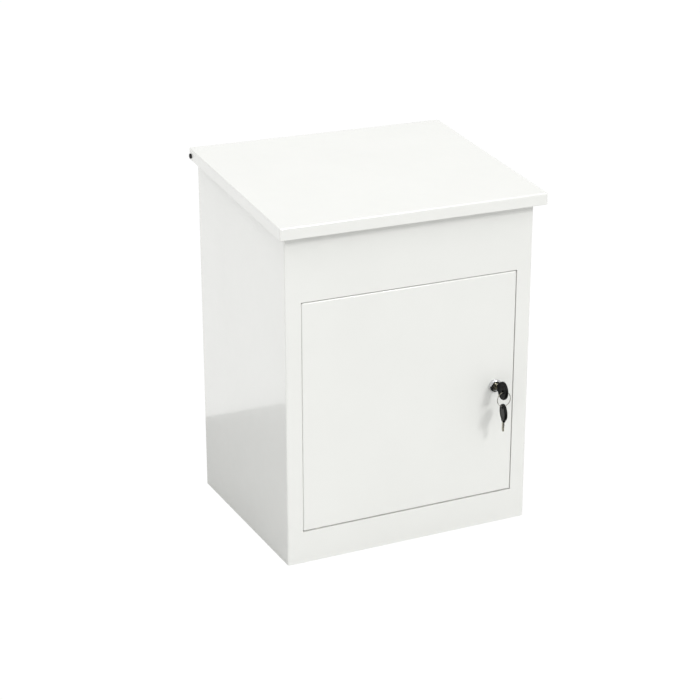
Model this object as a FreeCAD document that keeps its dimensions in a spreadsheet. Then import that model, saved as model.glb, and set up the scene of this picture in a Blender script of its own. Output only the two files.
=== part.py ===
"""Book drop box: a lockable sheet-steel box with a sloping top lid.

Items go in under the lid, onto a scoop that hangs from it and tips them into the box when the
lid is closed. They are collected through the front door, which is held by a cam lock.

Millimetres. X runs to the right along the front, Y to the back and Z up. The origin is at floor
level, under the middle of the casing. Every size is a cell of the sheet "Sizes", and each
piece is bound to those cells by expressions.
"""
import FreeCAD, Part
import Sketcher
import os
import re

V = FreeCAD.Vector

SIZES = {
    # the whole box
    "casing_width": 410.0,
    "casing_depth": 332.5,
    "overall_height": 575.0,
    "sheet": 1.2,
    "bend": 2.4,
    "weld_flange": 14.0,
    # lid
    "lid_side_overhang": 14.0,
    "lid_front_overhang": 17.5,
    "lid_fall": 38.8,
    "lid_skirt": 18.0,
    "rim_gap": 3.0,
    "trim_lip": 6.0,
    "trim_wall": 1.5,
    "trim_rest": 0.5,
    # lid hinge
    "hinge_setback": 8.0,
    "hinge_rise": 5.5,
    "rod_radius": 3.0,
    "running_fit": 0.06,
    "ear_reach": 5.5,
    "back_drop": 12.0,
    "side_clearance": 0.3,
    "spacer_radius": 6.0,
    "cap_radius": 4.0,
    "cap_length": 2.2,
    "cap_wall": 1.0,
    "hinge_plate_thick": 3.0,
    "hinge_plate_size": 22.0,
    "hinge_plate_play": 0.4,
    "skirt_slot_play": 0.9,
    # scoop under the lid
    "scoop_sheet": 1.5,
    "scoop_half_width": 193.0,
    "scoop_top": 16.0,
    "scoop_reach": 310.0,
    "scoop_lip": 12.0,
    "cheek_length": 190.0,
    "cheek_drop": 215.0,
    "cheek_gap": 3.0,
    "cheek_nose": 25.0,
    "screw_near": 47.5,
    "screw_far": 152.0,
    "rail_width": 16.0,
    "rail_height": 20.0,
    "brace_setback": 140.0,
    "brace_width": 60.0,
    "brace_foot": 12.0,
    "brace_slope": 3.6,
    "brace_wall": 1.8,
    "brace_depth": 10.0,
    # door
    "door_width": 358.0,
    "door_height": 362.0,
    "door_bottom": 52.5,
    "door_gap": 1.3,
    "door_side_gap": 0.8,
    "corner_relief": 1.6,
    "door_depth": 15.0,
    "door_lip": 12.0,
    "door_edge_radius": 2.0,
    "stiffener_width": 70.0,
    "stiffener_crown": 34.0,
    "stiffener_depth": 10.0,
    # door pivots
    "pivot_inset": 24.0,
    "pivot_setback": 5.2,
    "pin_radius": 2.4,
    "pin_head_radius": 3.4,
    "pin_head_length": 4.0,
    "bush_radius": 3.6,
    "bush_collar_radius": 4.8,
    "bush_collar": 1.0,
    "bush_length": 8.0,
    # frame behind the front
    "frame_sheet": 1.5,
    "stop_depth": 18.0,
    "stop_lip": 13.0,
    "swing_depth": 34.0,
    "swing_clear": 18.0,
    "seal_thick": 2.4,
    "seal_width": 9.0,
    # base and back
    "tray_height": 20.0,
    "bolt_radius": 4.5,
    "bolt_spacing_x": 300.0,
    "bolt_spacing_y": 220.0,
    "rivet_radius": 2.0,
    "rivet_head_radius": 3.6,
    "rivet_head": 1.0,
    "rivet_tail": 3.0,
    "rivet_tail_radius": 2.8,
    "rivet_inset": 8.0,
    "rivet_first": 50.0,
    "rivet_pitch": 145.0,
    # lock
    "lock_inset": 33.0,
    "bezel_radius": 10.5,
    "bezel_height": 5.5,
    "bezel_face_radius": 8.2,
    "bezel_shoulder_radius": 9.7,
    "bezel_shoulder": 4.4,
    "bezel_side": 2.5,
    "barrel_radius": 9.0,
    "barrel_length": 20.0,
    "plug_radius": 6.4,
    "plug_play": 0.1,
    "lock_plate_size": 62.0,
    "nut_across": 24.0,
    "nut_thick": 5.0,
    "cam_thick": 2.5,
    "cam_gap": 0.5,
    "cam_length": 42.0,
    "cam_width": 15.0,
    "cam_corner": 6.0,
    "shank_radius": 4.0,
    "screw_head_radius": 4.6,
    "screw_head": 2.8,
    # keys
    "blade_thick": 2.0,
    "blade_width": 7.6,
    "blade_length": 6.0,
    "blade_tip": 2.0,
    "blade_plain": 4.0,
    "key_play": 0.15,
    "bow_out": 26.0,
    "bow_length": 26.0,
    "bow_width": 29.0,
    "bow_thick": 5.0,
    "bow_round": 1.5,
    "bow_hole_radius": 2.5,
    "bow_hole_offset": 3.5,
    "neck_length": 6.0,
    "ring_radius": 11.5,
    "ring_wire": 0.8,
    "ring_play": 0.5,
    "spare_turn": 14.0,
    "spare_hole_offset": 9.0,
}

doc = FreeCAD.newDocument("book_drop_box")
sheet = doc.addObject("Spreadsheet::Sheet", "Sizes")
for row, (alias, value) in enumerate(SIZES.items(), start=1):
    sheet.set("A%d" % row, alias)
    sheet.set("B%d" % row, str(value))
    sheet.setAlias("B%d" % row, alias)
doc.recompute()

NODES = []


def bound(text):
    """The same formula with every size's name pointed at its cell in the sheet."""
    words = lambda m: "Sizes." + m.group(0) if m.group(0) in SIZES else m.group(0)
    return re.sub(r"[a-z][a-z_]*", words, text)


def number(text):
    """The present value of a formula, in millimetres."""
    value = sheet.evalExpression(bound(text))
    return float(getattr(value, "Value", value))


def bind(obj, prop, text):
    """Tie one property of an object to a formula."""
    obj.setExpression(prop, bound(text))


def node(obj, label):
    """Name a finished piece. Its label is also the name of its file."""
    obj.Label = label
    NODES.append(obj)
    return obj


# ---- Part primitives and booleans, placed by formulas --------------------------------------

def box(name, x, y, z):
    """A block between two formulas on each axis."""
    obj = doc.addObject("Part::Box", name)
    for prop, axis, (low, high) in zip(("Length", "Width", "Height"), "xyz", (x, y, z)):
        bind(obj, prop, "(%s) - (%s)" % (high, low))
        bind(obj, "Placement.Base." + axis, low)
    return obj


TURNS = {
    "x": FreeCAD.Rotation(V(0, 1, 0), 90),
    "y": FreeCAD.Rotation(V(1, 0, 0), -90),
    "z": FreeCAD.Rotation(),
}


def rod(name, axis, start, length, radius):
    """A cylinder along an axis, from the point start."""
    obj = doc.addObject("Part::Cylinder", name)
    obj.Placement = FreeCAD.Placement(V(), TURNS[axis])
    bind(obj, "Radius", radius)
    bind(obj, "Height", length)
    for letter, formula in zip("xyz", start):
        bind(obj, "Placement.Base." + letter, formula)
    return obj


def fuse(name, pieces):
    obj = doc.addObject("Part::MultiFuse", name)
    obj.Shapes = pieces
    return obj


def cut(name, base, tools):
    """Take tools away from base."""
    obj = doc.addObject("Part::Cut", name)
    obj.Base = base
    obj.Tool = tools[0] if len(tools) == 1 else fuse(name + "_tools", tools)
    return obj


def group(name, pieces):
    """Separate solids that share one piece's name, such as a set of rivets."""
    obj = doc.addObject("Part::Compound", name)
    obj.Links = pieces
    return obj


# ---- PartDesign bodies -----------------------------------------------------------------------

def new_body(label):
    return node(doc.addObject("PartDesign::Body", label), label)


def sketch_on(body, plane, offset="0"):
    """A sketch on one of the body's own origin planes, moved along its normal."""
    for feature in body.Origin.OriginFeatures:
        if feature.Role == plane:
            support = feature
    obj = body.newObject("Sketcher::SketchObject", body.Name + "_sketch")
    obj.AttachmentSupport = [(support, "")]
    obj.MapMode = "FlatFace"
    bind(obj, "AttachmentOffset.Base.z", offset)
    return obj


def outline(sketch, points):
    """A closed outline whose every corner is dimensioned by two formulas."""
    corners = [V(number(a), number(b), 0) for a, b in points]
    first = sketch.GeometryCount
    count = len(corners)
    for i in range(count):
        sketch.addGeometry(Part.LineSegment(corners[i], corners[(i + 1) % count]), False)
    for i in range(count):
        after = first + (i + 1) % count
        sketch.addConstraint(Sketcher.Constraint("Coincident", first + i, 2, after, 1))
    for i, point in enumerate(points):
        for kind, place, formula in zip(("DistanceX", "DistanceY"), corners[i], point):
            index = sketch.addConstraint(Sketcher.Constraint(kind, -1, 1, first + i, 1, place))
            bind(sketch, "Constraints[%d]" % index, formula)
    return sketch


def rectangle(sketch, low, high):
    (a, b), (c, d) = low, high
    return outline(sketch, [(a, b), (c, b), (c, d), (a, d)])


def circle(sketch, centre, radius):
    """A circle dimensioned by three formulas."""
    place = V(number(centre[0]), number(centre[1]), 0)
    index = sketch.addGeometry(Part.Circle(place, V(0, 0, 1), number(radius)), False)
    for kind, value, formula in zip(("DistanceX", "DistanceY"), place, centre):
        dim = sketch.addConstraint(Sketcher.Constraint(kind, -1, 1, index, 3, value))
        bind(sketch, "Constraints[%d]" % dim, formula)
    dim = sketch.addConstraint(Sketcher.Constraint("Radius", index, number(radius)))
    bind(sketch, "Constraints[%d]" % dim, radius)
    return sketch


def pad(body, sketch, length, midplane=False, reverse=False):
    obj = body.newObject("PartDesign::Pad", body.Name + "_pad")
    obj.Profile = sketch
    obj.Midplane = midplane
    obj.Reversed = reverse
    bind(obj, "Length", length)
    return obj


def pocket(body, sketch, length, midplane=False, reverse=False):
    """Cut a sketch into the body, and make sure that it took something away."""
    doc.recompute()
    before = body.Shape.Volume
    obj = body.newObject("PartDesign::Pocket", body.Name + "_pocket")
    obj.Profile = sketch
    obj.Midplane = midplane
    obj.Reversed = reverse
    bind(obj, "Length", length)
    doc.recompute()
    if body.Shape.Volume > before - 1e-3:
        raise ValueError(body.Label + ": a pocket cut nothing")
    return obj


def fillet(body, radius, chosen):
    """Round the edges of the body for which chosen(edge) is true."""
    doc.recompute()
    base = body.Tip
    names = ["Edge%d" % (i + 1) for i, edge in enumerate(base.Shape.Edges) if chosen(edge)]
    obj = body.newObject("PartDesign::Fillet", body.Name + "_fillet")
    obj.Base = (base, names)
    bind(obj, "Radius", radius)
    return obj


def runs_along(edge, axis):
    """True for a straight edge that is parallel to the axis 0, 1 or 2."""
    if not isinstance(edge.Curve, Part.Line):
        return False
    direction = edge.Curve.Direction
    return abs(abs(direction[axis]) - 1) < 1e-6


# ---- places that several pieces share, as formulas ----------------------------------------------

HALF_X = "casing_width / 2"
FRONT = "(-casing_depth / 2)"
BACK = "(casing_depth / 2)"
LID_HALF_X = "(casing_width / 2 + lid_side_overhang)"
LID_FRONT = "(-casing_depth / 2 - lid_front_overhang)"
HINGE_Y = "(casing_depth / 2 - hinge_setback)"
HINGE_Z = "(overall_height - lid_skirt + hinge_rise)"
BACK_TOP = "(overall_height - lid_skirt + hinge_rise - back_drop)"
WALL_INNER = "(casing_width / 2 - sheet)"
BACK_INNER = "(casing_depth / 2 - 2 * sheet)"
PANEL_INNER = "(-casing_depth / 2 + sheet)"


def lid_top(y):
    """Height of the lid's upper face at y. It falls towards the front."""
    fall = "lid_fall / (casing_depth + lid_front_overhang)"
    return "(overall_height - (casing_depth / 2 - (%s)) * %s)" % (y, fall)


def below_lid(y, gap):
    """Height at y of the line that runs the given gap below the lid's plate."""
    return "(%s - sheet - (%s))" % (lid_top(y), gap)


APERTURE_X = "(door_width / 2 + door_side_gap)"
APERTURE_LOW = "(door_bottom - door_gap)"
APERTURE_HIGH = "(door_bottom + door_height + door_gap)"
PIVOT_X = "(-door_width / 2 + pivot_inset)"
PIVOT_Y = "(-casing_depth / 2 + sheet + pivot_setback)"
LOCK_X = "(door_width / 2 - lock_inset)"
LOCK_Z = "(door_bottom + door_height / 2)"
STOP_Y = "(-casing_depth / 2 + stop_depth)"

RIVET_ROWS = 4
SIDES = (("left", -1), ("right", 1))


def across(side, near, far):
    """The formulas of an X range given as distances from the middle, on one side."""
    if side < 0:
        return ("-(%s)" % far, "-(%s)" % near)
    return (near, far)


def rivet_heights():
    return ["rivet_first + %d * rivet_pitch" % i for i in range(RIVET_ROWS)]


# ---- casing ------------------------------------------------------------------------------------

def make_casing_wrapper():
    """Left side, front and right side, bent from one sheet, with a return at each back edge."""
    body = new_body("casing_wrapper")
    inner_return = "(casing_width / 2 - weld_flange)"
    right = [
        (HALF_X, FRONT),
        (HALF_X, BACK),
        (inner_return, BACK),
        (inner_return, BACK + " - sheet"),
        (WALL_INNER, BACK + " - sheet"),
        (WALL_INNER, PANEL_INNER),
    ]
    left = [("-(%s)" % x, y) for x, y in reversed(right)]
    pad(body, outline(sketch_on(body, "XY_Plane"), right + left), "overall_height")
    front = number(FRONT)
    corner = lambda y: lambda e: runs_along(e, 2) and abs(e.CenterOfMass.y - y) < 0.01
    fillet(body, "bend", corner(front))
    fillet(body, "bend - sheet", corner(number(PANEL_INNER)))
    beyond = "overall_height + lid_skirt"
    far_front = FRONT + " - lid_skirt"
    far_back = BACK + " + lid_skirt"
    above = [
        (far_front, below_lid(far_front, "rim_gap")),
        (far_back, below_lid(far_back, "rim_gap")),
        (far_back, beyond),
        (far_front, beyond),
    ]
    pocket(body, outline(sketch_on(body, "YZ_Plane"), above), "2 * casing_width", midplane=True)
    ears = rectangle(sketch_on(body, "YZ_Plane"),
                     (HINGE_Y + " + ear_reach", BACK_TOP), (far_back, beyond))
    pocket(body, ears, "2 * casing_width", midplane=True)
    aperture = rectangle(sketch_on(body, "XZ_Plane"),
                         ("-" + APERTURE_X, APERTURE_LOW), (APERTURE_X, APERTURE_HIGH))
    pocket(body, aperture, "casing_depth", reverse=True)
    rod_hole = circle(sketch_on(body, "YZ_Plane"), (HINGE_Y, HINGE_Z), "rod_radius")
    pocket(body, rod_hole, "2 * casing_width", midplane=True)
    rivets = sketch_on(body, "XZ_Plane")
    for height in rivet_heights():
        for sign in ("-", ""):
            circle(rivets, (sign + "(casing_width / 2 - rivet_inset)", height), "rivet_radius")
    pocket(body, rivets, "casing_depth")
    return body


def make_back_panel():
    """Flat back with a folded hem along its top edge, riveted to the casing's returns."""
    inner = "(%s - sheet)" % BACK_INNER
    plate = box("back_plate", ("-" + WALL_INNER, WALL_INNER),
                (BACK_INNER, BACK + " - sheet"), ("0", BACK_TOP))
    hem_half = "(%s - hinge_plate_thick - side_clearance)" % WALL_INNER
    hem = box("back_hem", ("-" + hem_half, hem_half),
              (inner, BACK_INNER), (BACK_TOP + " - weld_flange", BACK_TOP))
    holes = []
    for height in rivet_heights():
        for sign in ("-", ""):
            x = sign + "(casing_width / 2 - rivet_inset)"
            holes.append(rod("back_hole", "y", (x, inner, height), "3 * sheet", "rivet_radius"))
    return node(cut("back_panel", fuse("back_sheet", [plate, hem]), holes), "back_panel")


def make_back_rivets():
    """Blind rivets: a flat head outside, a shank through both sheets and a set tail inside."""
    rivets = []
    for height in rivet_heights():
        for sign in ("-", ""):
            x = sign + "(casing_width / 2 - rivet_inset)"
            head = rod("rivet_head", "y", (x, BACK, height), "rivet_head", "rivet_head_radius")
            shank = rod("rivet_shank", "y", (x, BACK_INNER, height), "2 * sheet", "rivet_radius")
            tail = rod("rivet_tail", "y", (x, BACK_INNER + " - rivet_tail", height),
                       "rivet_tail", "rivet_tail_radius")
            rivets.append(fuse("rivet", [head, shank, tail]))
    return node(group("back_rivets", rivets), "back_rivets")


def make_base_tray():
    """Floor of the box: a shallow tray welded into the casing, with four floor-bolt holes."""
    outer = box("tray_block", ("-" + WALL_INNER, WALL_INNER),
                (PANEL_INNER, BACK_INNER), ("0", "tray_height"))
    hollow = box("tray_hollow", ("-(%s - sheet)" % WALL_INNER, "%s - sheet" % WALL_INNER),
                 (PANEL_INNER + " + sheet", BACK_INNER + " - sheet"), ("sheet", "2 * tray_height"))
    holes = [hollow]
    for sign in ("-", ""):
        corner_x = "%s%s - bend" % (sign, WALL_INNER)
        holes.append(box("tray_relief", (corner_x, corner_x + " + 2 * bend"),
                         (PANEL_INNER + " - bend", PANEL_INNER + " + bend"),
                         ("-sheet", "2 * tray_height")))
    for x in ("-bolt_spacing_x / 2", "bolt_spacing_x / 2"):
        for y in ("-bolt_spacing_y / 2", "bolt_spacing_y / 2"):
            holes.append(rod("bolt_hole", "z", (x, y, "-sheet"), "3 * sheet", "bolt_radius"))
    return node(cut("base_tray", outer, holes), "base_tray")


# ---- frame behind the door aperture -----------------------------------------------------------

def frame_rail(label, sign, edge):
    """Header (sign 1) or sill (sign -1): weld flange, web over the aperture's edge, door stop."""
    def upright(near, far):
        ends = ["%s + (%s)" % (edge, near), "%s + (%s)" % (edge, far)]
        if sign < 0:
            ends = ["%s - (%s)" % (edge, far), "%s - (%s)" % (edge, near)]
        return tuple(ends)
    half = "(%s + frame_sheet)" % APERTURE_X
    web = box(label + "_web", ("-" + half, half),
              (PANEL_INNER, STOP_Y + " + frame_sheet"), upright("0", "frame_sheet"))
    flange = box(label + "_flange", ("-" + half, half),
                 (PANEL_INNER, PANEL_INNER + " + frame_sheet"),
                 upright("frame_sheet", "frame_sheet + weld_flange"))
    stop = box(label + "_stop", (PIVOT_X + " + swing_clear", APERTURE_X + " - stop_lip"),
               (STOP_Y, STOP_Y + " + frame_sheet"), upright("-stop_lip", "0"))
    hole = rod(label + "_hole", "z", (PIVOT_X, PIVOT_Y, "%s - 2 * frame_sheet" % edge),
               "4 * frame_sheet", "bush_radius")
    return node(cut(label, fuse(label + "_sheet", [web, flange, stop]), [hole]), label)


def make_frame_hinge_jamb():
    """Deep channel at the hinge side, which leaves the door's edge room to swing inwards."""
    heights = (APERTURE_LOW, APERTURE_HIGH)
    face = "-(%s + frame_sheet)" % APERTURE_X
    outer = "-(%s + frame_sheet + weld_flange)" % APERTURE_X
    rear = "%s + swing_depth" % FRONT
    web = box("hinge_jamb_web", (face, "-" + APERTURE_X),
              (PANEL_INNER, rear + " + frame_sheet"), heights)
    flange = box("hinge_jamb_flange", (outer, face),
                 (PANEL_INNER, PANEL_INNER + " + frame_sheet"), heights)
    turn = box("hinge_jamb_turn", (outer, face), (rear, rear + " + frame_sheet"), heights)
    return node(fuse("frame_hinge_jamb", [web, flange, turn]), "frame_hinge_jamb")


def make_frame_lock_jamb():
    """Z section at the lock side: the door closes on its stop, and the cam turns behind it."""
    heights = (APERTURE_LOW, APERTURE_HIGH)
    face = "%s + frame_sheet" % APERTURE_X
    web = box("lock_jamb_web", (APERTURE_X, face),
              (PANEL_INNER, STOP_Y + " + frame_sheet"), heights)
    flange = box("lock_jamb_flange", (face, face + " + weld_flange"),
                 (PANEL_INNER, PANEL_INNER + " + frame_sheet"), heights)
    stop = box("lock_jamb_stop", (APERTURE_X + " - stop_lip", APERTURE_X),
               (STOP_Y, STOP_Y + " + frame_sheet"), heights)
    return node(fuse("frame_lock_jamb", [web, flange, stop]), "frame_lock_jamb")


def make_door_seal():
    """Soft strips stuck to the three door stops."""
    depth = (STOP_Y + " - seal_thick", STOP_Y)
    inner_x = APERTURE_X + " - stop_lip"
    inset = "(stop_lip - seal_width)"
    run = (PIVOT_X + " + swing_clear", inner_x)
    top = box("seal_top", run, depth,
              (APERTURE_HIGH + " - stop_lip", APERTURE_HIGH + " - " + inset))
    low = box("seal_low", run, depth,
              (APERTURE_LOW + " + " + inset, APERTURE_LOW + " + stop_lip"))
    side = box("seal_side", (inner_x, inner_x + " + seal_width"), depth,
               (APERTURE_LOW + " + " + inset, APERTURE_HIGH + " - " + inset))
    return node(group("door_seal", [top, low, side]), "door_seal")


def make_door_bush(label, sign, edge):
    """Flanged nylon bush in the header or the sill. The lower collar carries the door."""
    def start(distance, length):
        if sign > 0:
            return "%s + (%s)" % (edge, distance)
        return "%s - (%s) - (%s)" % (edge, distance, length)
    barrel = rod(label + "_barrel", "z", (PIVOT_X, PIVOT_Y, start("0", "bush_length")),
                 "bush_length", "bush_radius")
    collar = rod(label + "_collar", "z", (PIVOT_X, PIVOT_Y, start("-bush_collar", "bush_collar")),
                 "bush_collar", "bush_collar_radius")
    length = "bush_length + bush_collar"
    bore = rod(label + "_bore", "z", (PIVOT_X, PIVOT_Y, start("-bush_collar", length)),
               length, "pin_radius + running_fit")
    return node(cut(label, fuse(label + "_blank", [barrel, collar]), [bore]), label)


# ---- rim trim and lid hinge ---------------------------------------------------------------------

TRIM_TOP = "(rim_gap - trim_rest)"


def make_rim_trim_side(name, side):
    """U-shaped rubber trim pushed over a side wall's sloping top edge. The lid rests on it."""
    body = new_body("rim_trim_" + name)
    start = PANEL_INNER + " + trim_wall"
    end = HINGE_Y + " - hinge_plate_size - side_clearance"
    trim = across(side, WALL_INNER + " - trim_wall", HALF_X + " + trim_wall")
    band = [
        (start, below_lid(start, "rim_gap + trim_lip")),
        (end, below_lid(end, "rim_gap + trim_lip")),
        (end, below_lid(end, "trim_rest")),
        (start, below_lid(start, "trim_rest")),
    ]
    width = "sheet + 2 * trim_wall"
    pad(body, outline(sketch_on(body, "YZ_Plane", trim[0]), band), width)
    ahead = start + " - trim_lip"
    behind = end + " + trim_lip"
    slot = [
        (ahead, below_lid(ahead, "rim_gap + 2 * trim_lip")),
        (behind, below_lid(behind, "rim_gap + 2 * trim_lip")),
        (behind, below_lid(behind, "rim_gap")),
        (ahead, below_lid(ahead, "rim_gap")),
    ]
    wall = across(side, WALL_INNER, HALF_X)
    pocket(body, outline(sketch_on(body, "YZ_Plane", wall[0]), slot), "sheet", reverse=True)
    return body


def make_rim_trim_front():
    """The same trim along the front panel's top edge."""
    body = new_body("rim_trim_front")
    outer = FRONT + " - trim_wall"
    inner = PANEL_INNER + " + trim_wall"
    foot = below_lid(FRONT, "rim_gap + trim_lip")
    section = [
        (outer, foot),
        (FRONT, foot),
        (FRONT, below_lid(FRONT, "rim_gap")),
        (PANEL_INNER, below_lid(PANEL_INNER, "rim_gap")),
        (PANEL_INNER, foot),
        (inner, foot),
        (inner, below_lid(inner, "trim_rest")),
        (outer, below_lid(outer, "trim_rest")),
    ]
    length = "casing_width - 2 * (bend + trim_wall)"
    pad(body, outline(sketch_on(body, "YZ_Plane"), section), length, midplane=True)
    return body


def make_hinge_plate(name, side):
    """Thick plate welded inside a side wall, which carries the hinge rod."""
    label = "hinge_plate_" + name
    x = across(side, WALL_INNER + " - hinge_plate_thick", WALL_INNER)
    plate = box(label + "_blank", x,
                (HINGE_Y + " - hinge_plate_size", BACK_INNER + " - hinge_plate_play"),
                (HINGE_Z + " - hinge_plate_size", HINGE_Z + " + ear_reach"))
    hole = rod(label + "_hole", "x", (x[0] + " - sheet", HINGE_Y, HINGE_Z),
               "hinge_plate_thick + 2 * sheet", "rod_radius")
    return node(cut(label, plate, [hole]), label)


def make_hinge_rod():
    """Steel rod right across the box, held in the two hinge plates. The lid turns on its ends."""
    half = "(%s + side_clearance + cap_length - cap_wall)" % LID_HALF_X
    return node(rod("hinge_rod", "x", ("-" + half, HINGE_Y, HINGE_Z), "2 * " + half, "rod_radius"),
                "hinge_rod")


def make_hinge_spacer(name, side):
    """Nylon sleeve on the rod that keeps the lid's skirt off the side wall."""
    label = "hinge_spacer_" + name
    x = across(side, HALF_X, LID_HALF_X + " - sheet - side_clearance")
    length = "lid_side_overhang - sheet - side_clearance"
    tube = rod(label + "_tube", "x", (x[0], HINGE_Y, HINGE_Z), length, "spacer_radius")
    bore = rod(label + "_bore", "x", (x[0], HINGE_Y, HINGE_Z), length, "rod_radius")
    return node(cut(label, tube, [bore]), label)


def make_hinge_caps():
    """Black push-on caps over the two ends of the rod."""
    caps = []
    for name, side in SIDES:
        outer = across(side, LID_HALF_X + " + side_clearance",
                       LID_HALF_X + " + side_clearance + cap_length")
        inner = across(side, LID_HALF_X + " + side_clearance",
                       LID_HALF_X + " + side_clearance + cap_length - cap_wall")
        cap = rod("cap_" + name, "x", (outer[0], HINGE_Y, HINGE_Z), "cap_length", "cap_radius")
        socket = rod("cap_socket_" + name, "x", (inner[0], HINGE_Y, HINGE_Z),
                     "cap_length - cap_wall", "rod_radius")
        caps.append(cut("hinge_cap_" + name, cap, [socket]))
    return node(group("hinge_caps", caps), "hinge_caps")


# ---- lid and scoop ---------------------------------------------------------------------------

def make_lid_cover():
    """Folded tray: a sloping plate with a skirt all round, slotted at the back for the walls."""
    body = new_body("lid_cover")
    under = lambda y, drop: "(%s - (%s))" % (lid_top(y), drop)
    shape = [
        (LID_FRONT, under(LID_FRONT, "lid_skirt")),
        (BACK, under(BACK, "lid_skirt")),
        (BACK, lid_top(BACK)),
        (LID_FRONT, lid_top(LID_FRONT)),
    ]
    pad(body, outline(sketch_on(body, "YZ_Plane"), shape), "2 * " + LID_HALF_X, midplane=True)
    drop_at = lambda p: number(lid_top(str(p.y))) - p.z
    fillet(body, "bend", lambda e: drop_at(e.CenterOfMass) < number("lid_skirt") - 1)
    inner_front = "(%s + sheet)" % LID_FRONT
    inner_back = "(%s - sheet)" % BACK
    hollow = [
        (inner_front, under(inner_front, "2 * lid_skirt")),
        (inner_back, under(inner_back, "2 * lid_skirt")),
        (inner_back, under(inner_back, "sheet")),
        (inner_front, under(inner_front, "sheet")),
    ]
    pocket(body, outline(sketch_on(body, "YZ_Plane"), hollow),
           "2 * (%s - sheet)" % LID_HALF_X, midplane=True)
    slots = sketch_on(body, "XZ_Plane", "2 * sheet - casing_depth / 2")
    floor = "overall_height - 2 * lid_skirt"
    roof = "overall_height - 2 * sheet"
    for name, side in SIDES:
        x = across(side, WALL_INNER + " - hinge_plate_thick - skirt_slot_play",
                   HALF_X + " + skirt_slot_play")
        rectangle(slots, (x[0], floor), (x[1], roof))
    pocket(body, slots, "4 * sheet")
    rod_hole = circle(sketch_on(body, "YZ_Plane"), (HINGE_Y, HINGE_Z), "rod_radius + running_fit")
    pocket(body, rod_hole, "2 * casing_width", midplane=True)
    return body


RAIL_OUTER = "(scoop_half_width + 2 * scoop_sheet)"


def make_lid_rail(name, side):
    """Angle welded under the lid, running front to back. The scoop's cheek is screwed to it."""
    body = new_body("lid_rail_" + name)
    front = FRONT + " + 2 * rail_width"
    rear = HINGE_Y + " - 2 * hinge_setback"

    def band(gap):
        return [
            (front, below_lid(front, gap)),
            (rear, below_lid(rear, gap)),
            (rear, below_lid(rear, "0")),
            (front, below_lid(front, "0")),
        ]

    flat = across(side, RAIL_OUTER + " - rail_width", RAIL_OUTER)
    pad(body, outline(sketch_on(body, "YZ_Plane", flat[0]), band("scoop_sheet")), "rail_width")
    upright = across(side, RAIL_OUTER + " - scoop_sheet", RAIL_OUTER)
    pad(body, outline(sketch_on(body, "YZ_Plane", upright[0]), band("rail_height")), "scoop_sheet")
    holes = sketch_on(body, "YZ_Plane")
    for y, z in screw_places():
        circle(holes, (y, z), "rivet_radius")
    pocket(body, holes, "2 * casing_width", midplane=True)
    return body


def screw_places():
    """Where the scoop's four screws go through cheek and rail, as Y and Z formulas."""
    places = []
    for distance in ("screw_near", "screw_far"):
        y = "(%s - %s)" % (HINGE_Y, distance)
        places.append((y, below_lid(y, "(rail_height + cheek_gap) / 2")))
    return places


def make_lid_brace():
    """Hat channel welded across the lid's underside between the rails."""
    body = new_body("lid_brace")
    bottom = "brace_width / 2 - brace_foot"
    crown = bottom + " - brace_slope"
    half = [
        ("brace_width / 2", "0"),
        ("brace_width / 2", "scoop_sheet"),
        (bottom, "scoop_sheet"),
        (crown, "brace_depth"),
    ]
    inside = [
        (crown + " - brace_wall", "brace_depth - scoop_sheet"),
        (bottom + " - brace_wall", "0"),
    ]
    ahead = [("-(%s)" % x, gap) for x, gap in half]
    under = [("-(%s)" % x, gap) for x, gap in inside]
    section = []
    for x, gap in ahead + half[::-1] + inside[::-1] + under:
        y = "(%s + brace_setback + (%s))" % (FRONT, x)
        section.append((y, below_lid(y, gap)))
    length = "2 * (%s - rail_width) - 2 * side_clearance" % RAIL_OUTER
    pad(body, outline(sketch_on(body, "YZ_Plane"), section), length, midplane=True)
    return body


SCOOP_FACE = "(%s - scoop_sheet / 2)" % HINGE_Y
SCOOP_BACK = "(%s + scoop_sheet / 2)" % HINGE_Y
SCOOP_END = "(%s - scoop_reach)" % HINGE_Z


def make_scoop_plate():
    """Plate that hangs behind the load and lifts into a shelf as the lid is opened."""
    body = new_body("scoop_plate")
    section = [
        (SCOOP_BACK, HINGE_Z + " - scoop_top"),
        (SCOOP_FACE, HINGE_Z + " - scoop_top"),
        (SCOOP_FACE, SCOOP_END + " + scoop_sheet"),
        (SCOOP_FACE + " - scoop_lip", SCOOP_END + " + scoop_sheet"),
        (SCOOP_FACE + " - scoop_lip", SCOOP_END),
        (SCOOP_BACK, SCOOP_END),
    ]
    pad(body, outline(sketch_on(body, "YZ_Plane"), section), "2 * scoop_half_width", midplane=True)
    return body


def make_scoop_cheek(name, side):
    """Side guard: it joins the scoop plate to the lid and closes the gap at the side."""
    body = new_body("scoop_cheek_" + name)
    near = HINGE_Y + " - 2 * hinge_setback"
    nose = HINGE_Y + " - cheek_length"
    shape = [
        (near, below_lid(near, "cheek_gap")),
        (nose, below_lid(nose, "cheek_gap")),
        (nose, below_lid(nose, "cheek_nose")),
        (SCOOP_FACE + " - scoop_lip", HINGE_Z + " - cheek_drop"),
        (SCOOP_BACK, HINGE_Z + " - cheek_drop"),
        (SCOOP_BACK, HINGE_Z + " - scoop_top"),
    ]
    x = across(side, "scoop_half_width", "scoop_half_width + scoop_sheet")
    pad(body, outline(sketch_on(body, "YZ_Plane", x[0]), shape), "scoop_sheet")
    holes = sketch_on(body, "YZ_Plane")
    for y, z in screw_places():
        circle(holes, (y, z), "rivet_radius")
    pocket(body, holes, "2 * casing_width", midplane=True)
    return body


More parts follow.
